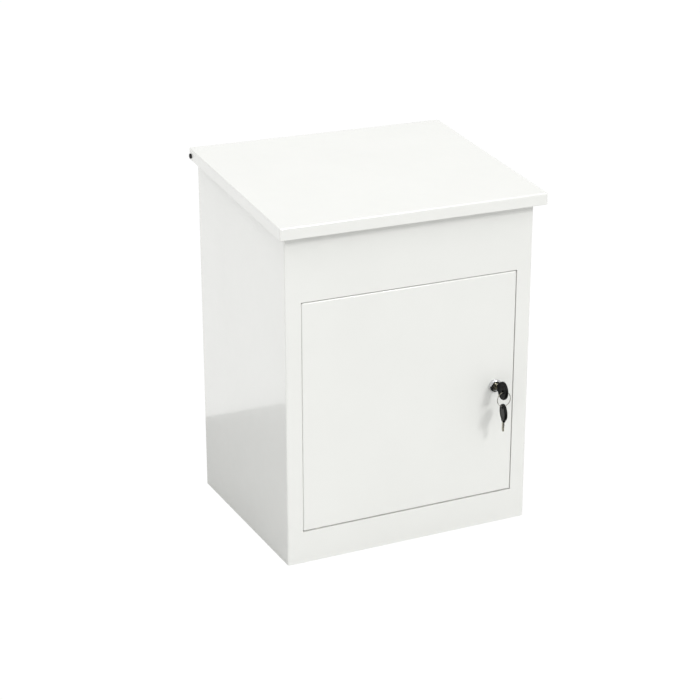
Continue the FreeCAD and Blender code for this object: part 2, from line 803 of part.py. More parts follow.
def make_scoop_screws():
    """Four screws with their heads inside and their nuts outside."""
    screws = []
    for name, side in SIDES:
        for y, z in screw_places():
            shank = across(side, "scoop_half_width", "scoop_half_width + 2 * scoop_sheet")
            head = across(side, "scoop_half_width - rivet_head * 2", "scoop_half_width")
            nut = across(side, RAIL_OUTER, RAIL_OUTER + " + rivet_tail")
            pieces = [rod("screw_shank", "x", (shank[0], y, z), "2 * scoop_sheet", "rivet_radius"),
                      rod("screw_head", "x", (head[0], y, z), "rivet_head * 2", "rivet_head_radius"),
                      rod("screw_nut", "x", (nut[0], y, z), "rivet_tail", "rivet_head_radius")]
            screws.append(fuse("scoop_screw", pieces))
    return node(group("scoop_screws", screws), "scoop_screws")


# ---- door ----------------------------------------------------------------------------------------

DOOR_TOP = "(door_bottom + door_height)"
DOOR_HALF = "(door_width / 2)"


def door_sketch(body, depth, inset):
    """A rectangle the size of the door less an inset, at a depth behind the front face."""
    sketch = sketch_on(body, "XZ_Plane", "casing_depth / 2 - (%s)" % depth)
    x = "(%s - (%s))" % (DOOR_HALF, inset)
    return rectangle(sketch, ("-" + x, "door_bottom + (%s)" % inset),
                     (x, "%s - (%s)" % (DOOR_TOP, inset)))


def make_door_panel():
    """Pan with its edges turned back and then in, and a bend relief hole at each corner."""
    body = new_body("door_panel")
    pad(body, door_sketch(body, "0", "0"), "door_depth", reverse=True)
    front = number(FRONT)
    fillet(body, "door_edge_radius", lambda e: abs(e.CenterOfMass.y - front) < 0.01)
    pocket(body, door_sketch(body, "sheet", "sheet"), "door_depth - 2 * sheet")
    pocket(body, door_sketch(body, "door_depth / 2", "door_lip"), "door_depth")
    lock = circle(sketch_on(body, "XZ_Plane"), (LOCK_X, LOCK_Z), "barrel_radius")
    pocket(body, lock, "casing_depth", reverse=True)
    pins = circle(sketch_on(body, "XY_Plane"), (PIVOT_X, PIVOT_Y), "pin_radius")
    pocket(body, pins, "2 * overall_height", midplane=True)
    reliefs = sketch_on(body, "XZ_Plane")
    for x in ("-" + DOOR_HALF, DOOR_HALF):
        for z in ("door_bottom", DOOR_TOP):
            circle(reliefs, (x, z), "corner_relief")
    pocket(body, reliefs, "casing_depth", reverse=True)
    return body


def make_door_stiffener():
    """Hat channel welded up the middle of the door's inside."""
    body = new_body("door_stiffener")
    skin = PANEL_INNER
    step = "%s + sheet" % skin
    crown = "%s + stiffener_depth" % skin
    inner = "%s - sheet" % crown
    outer_x, crown_x = "stiffener_width / 2", "stiffener_crown / 2"
    right = [
        (outer_x, skin),
        (outer_x, step),
        (crown_x + " + sheet", step),
        (crown_x + " + sheet", crown),
    ]
    left = [("-(%s)" % x, y) for x, y in reversed(right)]
    back = [("-(%s)" % crown_x, skin), ("-(%s)" % crown_x, inner), (crown_x, inner),
            (crown_x, skin)]
    start = "door_bottom + door_lip + door_gap"
    sketch = sketch_on(body, "XY_Plane", start)
    pad(body, outline(sketch, right + left + back), "door_height - 2 * (door_lip + door_gap)")
    return body


def make_door_pin(label, sign, edge):
    """Pivot pin: its head sits inside the door and its shank turns in the bush."""
    inside = "%s - (sheet + pin_head_length)" % edge if sign > 0 else "%s + sheet" % edge
    head = rod(label + "_head", "z", (PIVOT_X, PIVOT_Y, inside), "pin_head_length",
               "pin_head_radius")
    length = "sheet + door_gap + bush_length"
    start = "%s - sheet" % edge if sign > 0 else "%s - door_gap - bush_length" % edge
    shank = rod(label + "_shank", "z", (PIVOT_X, PIVOT_Y, start), length, "pin_radius")
    return node(fuse(label, [head, shank]), label)


# ---- lock -----------------------------------------------------------------------------------------

def at_lock(body):
    """Put a body's own origin on the lock's axis, in the plane of the front face."""
    for letter, formula in zip("xyz", (LOCK_X, FRONT, LOCK_Z)):
        bind(body, "Placement.Base." + letter, formula)


def revolve(body, sketch):
    """Turn a half section right round the body's own Y axis."""
    obj = body.newObject("PartDesign::Revolution", body.Name + "_turn")
    obj.Profile = sketch
    obj.ReferenceAxis = (sketch, ["H_Axis"])
    obj.Angle = 360
    return obj


def make_lock_plate():
    """Doubling plate behind the door's skin, which stiffens it round the lock."""
    half = "lock_plate_size / 2"
    right = "%s + barrel_radius * 2" % LOCK_X
    plate = box("lock_plate_blank", ("%s - %s" % (LOCK_X, half), right),
                (PANEL_INNER, PANEL_INNER + " + frame_sheet"),
                ("%s - %s" % (LOCK_Z, half), "%s + %s" % (LOCK_Z, half)))
    hole = rod("lock_plate_hole", "y", (LOCK_X, FRONT, LOCK_Z), "3 * frame_sheet", "barrel_radius")
    return node(cut("lock_plate", plate, [hole]), "lock_plate")


def make_lock_housing():
    """Turned lock barrel with a domed bezel on the front and an open bore for the plug."""
    body = new_body("lock_housing")
    at_lock(body)
    bore = "plug_radius + plug_play"
    half_section = [
        ("-bezel_height", bore),
        ("-bezel_height", "bezel_face_radius"),
        ("-bezel_shoulder", "bezel_shoulder_radius"),
        ("-bezel_side", "bezel_radius"),
        ("0", "bezel_radius"),
        ("0", "barrel_radius"),
        ("barrel_length", "barrel_radius"),
        ("barrel_length", bore),
    ]
    revolve(body, outline(sketch_on(body, "YZ_Plane"), half_section))
    return body


def make_lock_nut():
    """Hexagon nut that clamps the lock to the door from inside."""
    nut = doc.addObject("Part::Prism", "nut_blank")
    nut.Polygon = 6
    nut.Placement = FreeCAD.Placement(V(), TURNS["y"])
    bind(nut, "Circumradius", "nut_across / 2 / cos(30 deg)")
    bind(nut, "Height", "nut_thick")
    start = PANEL_INNER + " + frame_sheet"
    for letter, formula in zip("xyz", (LOCK_X, start, LOCK_Z)):
        bind(nut, "Placement.Base." + letter, formula)
    hole = rod("nut_hole", "y", (LOCK_X, FRONT, LOCK_Z), "barrel_length", "barrel_radius")
    return node(cut("lock_nut", nut, [hole]), "lock_nut")


def make_lock_plug():
    """The part the key turns: a round plug with a keyway, and a shank that drives the cam."""
    body = new_body("lock_plug")
    at_lock(body)
    shoulder = "barrel_length + cam_gap"
    half_section = [
        ("-bezel_height + cam_gap", "0"),
        ("-bezel_height + cam_gap", "plug_radius"),
        (shoulder, "plug_radius"),
        (shoulder, "shank_radius"),
        (shoulder + " + cam_thick", "shank_radius"),
        (shoulder + " + cam_thick", "0"),
    ]
    revolve(body, outline(sketch_on(body, "YZ_Plane"), half_section))
    half_t = "(blade_thick / 2 + key_play)"
    half_w = "(blade_width / 2 + key_play)"
    keyway = rectangle(sketch_on(body, "XZ_Plane", "bezel_height"),
                       ("-" + half_t, "-" + half_w), (half_t, half_w))
    pocket(body, keyway, "blade_length + bezel_height")
    return body


def make_lock_cam():
    """Flat arm on the plug's shank. It points down when unlocked and behind the jamb when locked."""
    body = new_body("lock_cam")
    at_lock(body)
    half = "cam_width / 2"
    plane = "-(barrel_length + cam_gap)"
    arm = [("-" + half, half), ("-" + half, "-cam_length"), (half, "-cam_length"), (half, half)]
    pad(body, outline(sketch_on(body, "XZ_Plane", plane), arm), "cam_thick", reverse=True)
    fillet(body, "cam_corner", lambda e: runs_along(e, 1))
    hole = circle(sketch_on(body, "XZ_Plane", plane), ("0", "0"), "shank_radius")
    pocket(body, hole, "cam_thick")
    return body


def make_cam_screw():
    """Screw that holds the cam against the plug."""
    start = "%s + barrel_length + cam_gap + cam_thick" % FRONT
    return node(rod("cam_screw", "y", (LOCK_X, start, LOCK_Z), "screw_head", "screw_head_radius"),
                "cam_screw")


# ---- keys ---------------------------------------------------------------------------------------------

CUT_DEPTHS = (0.9, 1.6, 0.6, 1.2)
CUT_FLAT = 0.8


def key_blade(label, placement):
    """Steel blade with bitting cuts along one edge and a neck that goes into the bow."""
    size = {name: number(name) for name in SIZES}
    half = size["blade_width"] / 2
    tip = size["blade_length"]
    start = tip - size["blade_tip"]
    neck = -(size["bow_out"] - size["bow_length"] / 2 + size["neck_length"])
    pitch = (start + size["blade_plain"]) / len(CUT_DEPTHS)
    side = -size["blade_thick"] / 2
    points = [
        V(side, neck, -half),
        V(side, neck, half),
        V(side, start, half),
        V(side, tip, 0),
        V(side, start, -half),
    ]
    for i, depth in enumerate(CUT_DEPTHS):
        middle = start - (i + 0.5) * pitch
        points.append(V(side, middle + CUT_FLAT / 2, depth - half))
        points.append(V(side, middle - CUT_FLAT / 2, depth - half))
        points.append(V(side, start - (i + 1) * pitch, -half))
    face = Part.Face(Part.makePolygon(points + points[:1]))
    obj = doc.addObject("Part::Feature", label)
    obj.Shape = face.extrude(V(size["blade_thick"], 0, 0))
    obj.Placement = placement
    return node(obj, label)


def key_bow(label, placement, hole_offset):
    """Oval black plastic head moulded over the blade's end, with the ring's hole through it."""
    size = {name: number(name) for name in SIZES}
    long_half, short_half = size["bow_width"] / 2, size["bow_length"] / 2
    oval = Part.Ellipse(V(0, 0, 0), long_half, short_half).toShape()
    blank = Part.Face(Part.Wire([oval])).extrude(V(0, 0, size["bow_thick"]))
    blank.translate(V(0, 0, -size["bow_thick"] / 2))
    rims = [e for e in blank.Edges if isinstance(e.Curve, Part.Ellipse)]
    blank = blank.makeFillet(size["bow_round"], rims)
    hole = Part.makeCylinder(size["bow_hole_radius"], 2 * size["bow_thick"],
                             V(0, -hole_offset, -size["bow_thick"]))
    blank = blank.cut(hole)
    # the oval's long axis lies across the key, which runs along Y
    blank.rotate(V(0, 0, 0), V(0, 1, 0), 90)
    blank.translate(V(0, -size["bow_out"], 0))
    inside = size["neck_length"]
    neck_start = -(size["bow_out"] - short_half + inside)
    slot = Part.makeBox(size["blade_thick"], inside + short_half, size["blade_width"],
                        V(-size["blade_thick"] / 2, neck_start, -size["blade_width"] / 2))
    obj = doc.addObject("Part::Feature", label)
    obj.Shape = blank.cut(slot)
    obj.Placement = placement
    return node(obj, label)


def make_keys():
    """The key in the lock, the spare that hangs from it, and the ring that joins them."""
    lock = V(number(LOCK_X), number(FRONT), number(LOCK_Z))
    level = FreeCAD.Placement(lock, FreeCAD.Rotation())
    key_blade("key_blade", level)
    key_bow("key_bow", level, number("bow_hole_offset"))
    hook = number("bow_out + bow_hole_offset")
    sag = number("bow_hole_radius - ring_wire - ring_play")
    radius = number("ring_radius")
    ring = doc.addObject("Part::Torus", "key_ring")
    ring.Placement = FreeCAD.Placement(V(), FreeCAD.Rotation(V(1, 0, 0), 90))
    bind(ring, "Radius1", "ring_radius")
    bind(ring, "Radius2", "ring_wire")
    middle = (LOCK_X, "%s - bow_out - bow_hole_offset" % FRONT,
              "%s - (bow_hole_radius - ring_wire - ring_play) - ring_radius" % LOCK_Z)
    for letter, formula in zip("xyz", middle):
        bind(ring, "Placement.Base." + letter, formula)
    node(ring, "key_ring")
    # the spare hangs blade down: its hole's top rests on the ring's lowest point
    spare_hole = number("bow_out + spare_hole_offset")
    down = FreeCAD.Rotation(V(1, 0, 0), -90)
    turned = FreeCAD.Rotation(V(0, 0, 1), -number("spare_turn")).multiply(down)
    hang = lock + V(0, -hook, -sag - 2 * radius - sag)
    base = hang - turned.multVec(V(0, -spare_hole, 0))
    spare = FreeCAD.Placement(base, turned)
    key_blade("spare_blade", spare)
    key_bow("spare_bow", spare, number("spare_hole_offset"))


# ---- assembly -------------------------------------------------------------------------------------------

make_casing_wrapper()
make_back_panel()
make_back_rivets()
make_base_tray()
frame_rail("frame_header", 1, APERTURE_HIGH)
frame_rail("frame_sill", -1, APERTURE_LOW)
make_frame_hinge_jamb()
make_frame_lock_jamb()
make_door_seal()
make_door_bush("door_bush_top", 1, APERTURE_HIGH)
make_door_bush("door_bush_bottom", -1, APERTURE_LOW)
make_rim_trim_front()
make_hinge_rod()
make_hinge_caps()
for side_name, side_sign in SIDES:
    make_rim_trim_side(side_name, side_sign)
    make_hinge_plate(side_name, side_sign)
    make_hinge_spacer(side_name, side_sign)
    make_lid_rail(side_name, side_sign)
    make_scoop_cheek(side_name, side_sign)
make_lid_cover()
make_lid_brace()
make_scoop_plate()
make_scoop_screws()
make_door_panel()
make_door_stiffener()
make_door_pin("door_pin_top", 1, DOOR_TOP)
make_door_pin("door_pin_bottom", -1, "door_bottom")
make_lock_plate()
make_lock_housing()
make_lock_nut()
make_lock_plug()
make_lock_cam()
make_cam_screw()
make_keys()

doc.recompute()
for obj in doc.Objects:
    if "Invalid" in obj.State or "Error" in obj.State:
        raise ValueError("%s did not build: %s" % (obj.Label, obj.State))
os.makedirs("parts", exist_ok=True)
for piece in NODES:
    shape = piece.Shape
    if shape.isNull() or not shape.isValid() or not shape.Solids:
        raise ValueError(piece.Label + " has no valid solid")
    shape.exportStep("parts/%s.step" % piece.Label)
    print("%-22s solids %d volume %.0f" % (piece.Label, len(shape.Solids), shape.Volume))
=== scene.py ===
"""Book drop box: the looks of its pieces, in the order in which it is put together.

Metres. X runs to the right along the front, Y to the back and Z up, with the origin at floor
level under the casing's middle.
"""
import math

import bmesh
import bpy
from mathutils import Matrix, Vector


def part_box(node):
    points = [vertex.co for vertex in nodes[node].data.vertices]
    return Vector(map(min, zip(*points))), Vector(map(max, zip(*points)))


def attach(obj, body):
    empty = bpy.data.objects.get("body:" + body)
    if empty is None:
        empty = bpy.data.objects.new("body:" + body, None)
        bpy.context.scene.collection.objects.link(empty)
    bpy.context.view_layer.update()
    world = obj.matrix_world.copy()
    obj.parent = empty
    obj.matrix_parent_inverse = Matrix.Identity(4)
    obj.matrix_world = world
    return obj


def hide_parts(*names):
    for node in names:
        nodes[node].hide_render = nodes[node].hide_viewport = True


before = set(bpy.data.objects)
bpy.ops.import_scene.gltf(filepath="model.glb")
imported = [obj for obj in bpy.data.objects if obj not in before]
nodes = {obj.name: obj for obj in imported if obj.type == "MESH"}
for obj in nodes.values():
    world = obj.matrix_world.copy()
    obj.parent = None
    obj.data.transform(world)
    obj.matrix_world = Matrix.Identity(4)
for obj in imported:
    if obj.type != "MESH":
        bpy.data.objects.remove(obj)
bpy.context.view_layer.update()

bpy.ops.object.select_all(action="DESELECT")


# ---- camera ----------------------------------------------------------------------------------
# A long lens, well above the lid and to the left of the front. It takes in the lid's slope,
# the whole door and the left side.

camera_data = bpy.data.cameras.new("camera")
camera_data.lens = 94.0
camera_data.sensor_width = 36.0
camera = bpy.data.objects.new("camera", camera_data)
camera.location = (-1.194, -2.437, 1.267)
camera_down = 20.37
camera_turn = 25.69
camera.rotation_euler = (math.radians(90 - camera_down), 0, math.radians(-camera_turn))
bpy.context.scene.collection.objects.link(camera)
bpy.context.scene.camera = camera


# ---- studio ----------------------------------------------------------------------------------
# A pure white floor and backdrop in an even, pale room, with a duller sheet that bounces light. A
# very soft light hangs above, and a smaller one at the front right draws the shadows of the lid
# and the keys. Dark cards, seen only in reflections, lie where paint and chrome mirror them.

bpy.context.scene.view_settings.view_transform = "Standard"
room = bpy.data.worlds.new("room")
bpy.context.scene.world = room
room.use_nodes = True
walls = room.node_tree.nodes["Background"]
walls.inputs["Color"].default_value = (1, 1, 0.995, 1)
walls.inputs["Strength"].default_value = 0.72


def sun(name, energy, width, toward, colour=(1, 1, 1)):
    """A distant light of the studio, with its width in degrees and the way from the box to it."""
    lamp = bpy.data.lights.new(name, "SUN")
    lamp.energy = energy
    lamp.color = colour
    lamp.angle = math.radians(width)
    light = bpy.data.objects.new(name, lamp)
    light.rotation_euler = Vector(toward).to_track_quat("Z", "Y").to_euler()
    bpy.context.scene.collection.objects.link(light)


sun("soft_light", energy=1.25, width=110, toward=(-0.12, -0.05, 0.99), colour=(0.98, 0.98, 1.0))
sun("key_light", energy=0.94, width=13, toward=(0.36, -0.76, 0.54))


def stage_paint(sheet, colour, glow):
    """Paint a sheet of the studio one plain colour, which may glow."""
    paint = bpy.data.materials.new(sheet.name)
    paint.use_nodes = True
    shader = paint.node_tree.nodes["Principled BSDF"]
    shader.inputs["Base Color"].default_value = (colour, colour, colour, 1)
    shader.inputs["Roughness"].default_value = 0.9
    shader.inputs["Specular IOR Level"].default_value = 0.0
    shader.inputs["Emission Color"].default_value = (1, 1, 1, 1)
    shader.inputs["Emission Strength"].default_value = glow
    sheet.data.materials.append(paint)
    sheet.select_set(False)


def stage_sheet(name, low, high, z, colour, glow=0.0):
    """A level sheet of the studio."""
    bpy.ops.mesh.primitive_plane_add(size=1, location=(0, 0, z))
    sheet = bpy.context.object
    sheet.name = name
    bpy.ops.object.mode_set(mode="EDIT")
    bpy.ops.transform.resize(value=(high[0] - low[0], high[1] - low[1], 1))
    middle = ((low[0] + high[0]) / 2, (low[1] + high[1]) / 2, 0)
    bpy.ops.transform.translate(value=middle)
    bpy.ops.object.mode_set(mode="OBJECT")
    stage_paint(sheet, colour, glow)
    return sheet


white_glow = 1.02
floor_low, floor_high = (-30, -30), (30, 30)
backdrop_radius = 29
backdrop_height = 60
backdrop_middle = 25
floor = stage_sheet("floor", floor_low, floor_high, z=0.0, colour=0.0, glow=white_glow)
floor.visible_diffuse = False
floor.visible_shadow = False
bounce = stage_sheet("bounce", floor_low, floor_high, z=-0.0005, colour=0.76)
bounce.visible_camera = False
bounce.visible_glossy = False
bpy.ops.mesh.primitive_cylinder_add(vertices=96, radius=backdrop_radius, depth=backdrop_height,
                                    end_fill_type="NOTHING", location=(0, 0, backdrop_middle))
backdrop = bpy.context.object
backdrop.name = "backdrop"
stage_paint(backdrop, colour=0.0, glow=white_glow)
backdrop.visible_diffuse = False
backdrop.visible_glossy = False
backdrop.visible_shadow = False
grey_card = stage_sheet("grey_card", (-2.5, -3.0), (2.5, 0.435), z=0.0008, colour=0.30)
dark_card = stage_sheet("dark_card", (-0.35, -2.4), (2.2, -0.17), z=0.0016, colour=0.02)
high_card = stage_sheet("high_card", (-2.4, -2.2), (-0.9, -0.9), z=1.9, colour=0.02)
for card in (grey_card, dark_card, high_card):
    card.visible_camera = False
    card.visible_diffuse = False
    card.visible_shadow = False


# ---- casing and base -------------------------------------------------------------------------
# Both sides and the front are bent from one steel sheet, and a tray is welded in as the floor.
# They are powder coated glossy white, which sets with a very fine orange peel.

def principled(name, colour, roughness, metallic=0.0):
    """A material with one principled shader, and Object coordinates to drive its patterns."""
    finish = bpy.data.materials.new(name)
    finish.use_nodes = True
    tree = finish.node_tree
    shader = tree.nodes["Principled BSDF"]
    shader.inputs["Base Color"].default_value = (*colour, 1)
    shader.inputs["Roughness"].default_value = roughness
    shader.inputs["Metallic"].default_value = metallic
    place = tree.nodes.new("ShaderNodeTexCoord")
    return finish, tree, shader, place.outputs["Object"]


def noise(tree, place, scale, detail=2.0, stretch=(1, 1, 1)):
    """A noise pattern of a given scale per metre, which may be stretched along an axis."""
    mapping = tree.nodes.new("ShaderNodeMapping")
    mapping.inputs["Scale"].default_value = stretch
    tree.links.new(place, mapping.inputs["Vector"])
    pattern = tree.nodes.new("ShaderNodeTexNoise")
    pattern.inputs["Scale"].default_value = scale
    pattern.inputs["Detail"].default_value = detail
    tree.links.new(mapping.outputs["Vector"], pattern.inputs["Vector"])
    return pattern.outputs["Fac"]


# nearly all of a noise pattern lies between these two values
noise_low = 0.3
noise_high = 0.7


def vary(tree, pattern, low, high, socket):
    """Drive a number of the shader between two values by a pattern."""
    span = tree.nodes.new("ShaderNodeMapRange")
    span.inputs["From Min"].default_value = noise_low
    span.inputs["From Max"].default_value = noise_high
    span.inputs["To Min"].default_value = low
    span.inputs["To Max"].default_value = high
    tree.links.new(pattern, span.inputs["Value"])
    tree.links.new(span.outputs["Result"], socket)


def tint(tree, pattern, dark, light, socket):
    """Drive the shader's colour between two tones by a pattern."""
    ramp = tree.nodes.new("ShaderNodeValToRGB")
    ramp.color_ramp.elements[0].position = noise_low
    ramp.color_ramp.elements[0].color = (*dark, 1)
    ramp.color_ramp.elements[1].position = noise_high
    ramp.color_ramp.elements[1].color = (*light, 1)
    tree.links.new(pattern, ramp.inputs["Fac"])
    tree.links.new(ramp.outputs["Color"], socket)


def raise_surface(tree, shader, pattern, height, edge=0.0):
    """Raise the surface by a pattern, and soften edges over a small radius."""
    bump = tree.nodes.new("ShaderNodeBump")
    bump.inputs["Distance"].default_value = height
    tree.links.new(pattern, bump.inputs["Height"])
    if edge:
        bevel = tree.nodes.new("ShaderNodeBevel")
        bevel.inputs["Radius"].default_value = edge
        tree.links.new(bevel.outputs["Normal"], bump.inputs["Normal"])
    tree.links.new(bump.outputs["Normal"], shader.inputs["Normal"])


def powder_coat(name, light, dark, roughness):
    """White powder coat: a slight cloudiness, an uneven gloss and a fine orange peel."""
    finish, tree, shader, place = principled(name, light, roughness)
    tint(tree, noise(tree, place, scale=9, detail=3), dark, light, shader.inputs["Base Color"])
    vary(tree, noise(tree, place, scale=60, detail=4), roughness - 0.03, roughness + 0.04,
         shader.inputs["Roughness"])
    raise_surface(tree, shader, noise(tree, place, scale=420, detail=2), height=0.000008,
                  edge=0.0005)
    shader.inputs["Coat Weight"].default_value = 0.7
    shader.inputs["Coat Roughness"].default_value = 0.05
    shader.inputs["Coat IOR"].default_value = 1.55
    return finish


white_coat = powder_coat("white_coat", light=(0.80, 0.805, 0.775), dark=(0.785, 0.79, 0.76),
                         roughness=0.22)


def finish_nodes(material, *names):
    """Give CAD pieces their finish."""
    for name in names:
        for place in nodes[name].material_slots:
            place.material = material


finish_nodes(white_coat, "casing_wrapper", "base_tray")


# ---- back panel and its rivets ---------------------------------------------------------------
# A flat coated sheet closes the back. Eight blind rivets of plated steel hold it: each has a low
# domed head with the stub of its mandrel in the middle, and a tail set behind the sheets.

MM = 0.001
TINY = 1e-5
finish_nodes(white_coat, "back_panel")


def metal(name, dark, light, roughness, grain=220, stretch=(1, 1, 1), height=0.000004):
    """Bare or plated metal with a mottled tone, an uneven gloss and fine marks."""
    finish, tree, shader, place = principled(name, light, roughness, 1.0)
    mottle = noise(tree, place, scale=grain, detail=4, stretch=stretch)
    tint(tree, mottle, dark, light, shader.inputs["Base Color"])
    gloss = noise(tree, place, scale=grain * 3, detail=3, stretch=stretch)
    vary(tree, gloss, roughness * 0.75, roughness * 1.3, shader.inputs["Roughness"])
    marks = noise(tree, place, scale=grain * 8, detail=2, stretch=stretch)
    raise_surface(tree, shader, marks, height)
    return finish


zinc = metal("zinc_plate", dark=(0.50, 0.52, 0.55), light=(0.70, 0.71, 0.72), roughness=0.34)


def edit(piece):
    """Open a piece in edit mode with nothing selected."""
    bpy.ops.object.select_all(action="DESELECT")
    bpy.context.view_layer.objects.active = piece
    piece.select_set(True)
    bpy.ops.object.mode_set(mode="EDIT")
    bpy.ops.mesh.select_all(action="DESELECT")


def done(piece, smooth=30):
    """Leave edit mode, with the faces outwards and rounded parts shaded smooth."""
    if bpy.context.object.mode != "EDIT":
        edit(piece)
    bpy.ops.mesh.select_all(action="SELECT")
    bpy.ops.mesh.remove_doubles(threshold=TINY / 10)
    bpy.ops.mesh.normals_make_consistent(inside=False)
    bpy.ops.object.mode_set(mode="OBJECT")
    bpy.ops.object.shade_smooth_by_angle(angle=math.radians(smooth))
    bpy.ops.object.transform_apply(location=True, rotation=True, scale=True)
    piece.select_set(False)


def pick(piece, test, kind="FACE"):
    """Select the faces, edges or vertices whose middle passes a test, and nothing else."""
    bpy.ops.mesh.select_mode(type=kind)
    bpy.ops.mesh.select_all(action="DESELECT")
    mesh = bmesh.from_edit_mesh(piece.data)
    mesh.normal_update()
    for part in {"FACE": mesh.faces, "EDGE": mesh.edges, "VERT": mesh.verts}[kind]:
        if kind == "FACE":
            middle = part.calc_center_median()
        elif kind == "EDGE":
            middle = (part.verts[0].co + part.verts[1].co) / 2
        else:
            middle = part.co
        part.select = test(middle, part)
    mesh.select_flush_mode()
    bmesh.update_edit_mesh(piece.data)


FACING = {"x": (0, math.pi / 2, 0), "y": (-math.pi / 2, 0, 0), "z": (0, 0, 0)}
ALONG = {"x": Vector((1, 0, 0)), "y": Vector((0, 1, 0)), "z": Vector((0, 0, 1))}


def turned(name, centre, axis, profile, hollow=False, sides=48):
    """A turned piece: a circle is extruded, moved and scaled from ring to ring of its profile.

    The profile lists (radius, distance along the axis). A hollow one is closed on itself, and a
    solid one is closed over its first and last rings.
    """
    along = ALONG[axis]
    radius, distance = profile[0]
    bpy.ops.mesh.primitive_circle_add(vertices=sides, radius=radius, fill_type="NOTHING",
                                      location=Vector(centre) + along * distance,
                                      rotation=FACING[axis])
    piece = bpy.context.object
    piece.name = name
    bpy.ops.object.transform_apply(location=True, rotation=True, scale=True)
    bpy.ops.object.mode_set(mode="EDIT")
    bpy.ops.mesh.select_mode(type="EDGE")
    bpy.ops.mesh.select_all(action="SELECT")
    if not hollow:
        bpy.ops.mesh.edge_face_add()
        bpy.ops.mesh.select_mode(type="EDGE")
    rings = profile[1:] + (profile[:1] if hollow else [])
    for next_radius, next_distance in rings:
        if hollow:
            bpy.ops.mesh.extrude_edges_move()
        else:
            bpy.ops.mesh.extrude_region_move()
        bpy.ops.transform.translate(value=along * (next_distance - distance))
        bpy.ops.transform.resize(value=(next_radius / radius,) * 3,
                                 center_override=Vector(centre) + along * next_distance)
        radius, distance = next_radius, next_distance
    done(piece)
    return piece


def joined(name, pieces):
    """Several solids of one piece made one object."""
    bpy.ops.object.select_all(action="DESELECT")
    for piece in pieces:
        piece.select_set(True)
    bpy.context.view_layer.objects.active = pieces[0]
    bpy.ops.object.join()
    pieces[0].name = name
    pieces[0].select_set(False)
    return pieces[0]


def copied(piece, move):
    """A copy of a piece with its own mesh, moved into its own place."""
    bpy.ops.object.select_all(action="DESELECT")
    piece.select_set(True)
    bpy.context.view_layer.objects.active = piece
    bpy.ops.object.duplicate()
    bpy.ops.transform.translate(value=move)
    bpy.ops.object.transform_apply(location=True, rotation=True, scale=True)
    twin = bpy.context.object
    twin.select_set(False)
    return twin


def fit(piece, material, body, slot, *cad_names):
    """Give a new piece its finish, its body and the CAD pieces that it stands for."""
    piece.data.materials.clear()
    piece.data.materials.append(material)
    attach(piece, body)
    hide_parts(*cad_names)


rivet_low, rivet_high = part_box("back_rivets")
casing_low, casing_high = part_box("casing_wrapper")
rivet_rows = 4
head_radius = 3.6 * MM
shank_radius = 2.0 * MM
tail_radius = 2.8 * MM
tail_length = 2.4 * MM
mandrel_hole = 0.95 * MM
mandrel_radius = 0.8 * MM
mandrel_tip = 0.5 * MM
rivet_x = rivet_high.x - head_radius
rivet_bottom = rivet_low.z + head_radius
rivet_pitch = (rivet_high.z - head_radius - rivet_bottom) / (rivet_rows - 1)
head_seat = casing_high.y
head_top = rivet_high.y
tail_end = rivet_low.y
tail_seat = head_seat - tail_length
head = head_top - head_seat
rivet_profile = [
    (mandrel_tip, tail_end),
    (tail_radius * 0.7, tail_end + 0.15 * MM),
    (tail_radius, tail_end + 0.8 * MM),
    (tail_radius * 0.97, tail_seat - 0.5 * MM),
    (shank_radius, tail_seat),
    (shank_radius, head_seat),
    (head_radius, head_seat),
    (head_radius, head_seat + head * 0.3),
    (head_radius * 0.86, head_seat + head * 0.72),
    (head_radius * 0.55, head_top - head * 0.06),
    (mandrel_hole, head_top),
    (mandrel_hole - 0.1 * MM, head_top - head * 0.6),
    (mandrel_radius, head_top - head * 0.6),
    (mandrel_radius * 0.9, head_top - head * 0.15),
    (mandrel_tip, head_top - head * 0.08),
]
first_rivet = turned("rivet", (-rivet_x, 0, rivet_bottom), "y", rivet_profile, sides=32)
rivets = [first_rivet]
for row in range(rivet_rows):
    for shift in (0, 2 * rivet_x):
        if row or shift:
            rivets.append(copied(first_rivet, (shift, 0, row * rivet_pitch)))
fit(joined("back_rivet_set", rivets), zinc, "casing", "zinc_plated_steel", "back_rivets")


# ---- frame behind the door -------------------------------------------------------------------
# Header, sill and two jambs are folded from sheet, welded behind the opening and coated with
# the casing. They stiffen the front and stop the door.

finish_nodes(white_coat, "frame_header", "frame_sill", "frame_hinge_jamb", "frame_lock_jamb")


# ---- door seal -------------------------------------------------------------------------------
# Three strips of black foam rubber are stuck to the door stops. Each has a crowned face that
# the door presses on.

def rubber(name, tone, roughness, grain, height):
    """Black rubber: a faintly dusty tone and a fine matt grain or open cells."""
    finish, tree, shader, place = principled(name, (tone,) * 3, roughness)
    tint(tree, noise(tree, place, scale=45, detail=4), (tone * 0.7,) * 3, (tone * 1.5,) * 3,
         shader.inputs["Base Color"])
    vary(tree, noise(tree, place, scale=200, detail=3), roughness - 0.08, roughness + 0.08,
         shader.inputs["Roughness"])
    raise_surface(tree, shader, noise(tree, place, scale=grain, detail=3), height)
    return finish


foam = rubber("foam_rubber", tone=0.03, roughness=0.8, grain=1400, height=0.00015)


def block(name, low, high):
    """A cube brought to its place and size, left open in edit mode."""
    low, high = Vector(low), Vector(high)
    bpy.ops.mesh.primitive_cube_add(size=1, location=(low + high) / 2)
    piece = bpy.context.object
    piece.name = name
    bpy.ops.object.mode_set(mode="EDIT")
    bpy.ops.mesh.select_all(action="SELECT")
    bpy.ops.transform.resize(value=high - low)
    bpy.ops.object.mode_set(mode="OBJECT")
    bpy.ops.object.transform_apply(location=True, rotation=True, scale=True)
    edit(piece)
    return piece


seal_low, seal_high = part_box("door_seal")
seal_width = 9.0 * MM
seal_crown = 1.1 * MM
seal_gap = 0.4 * MM


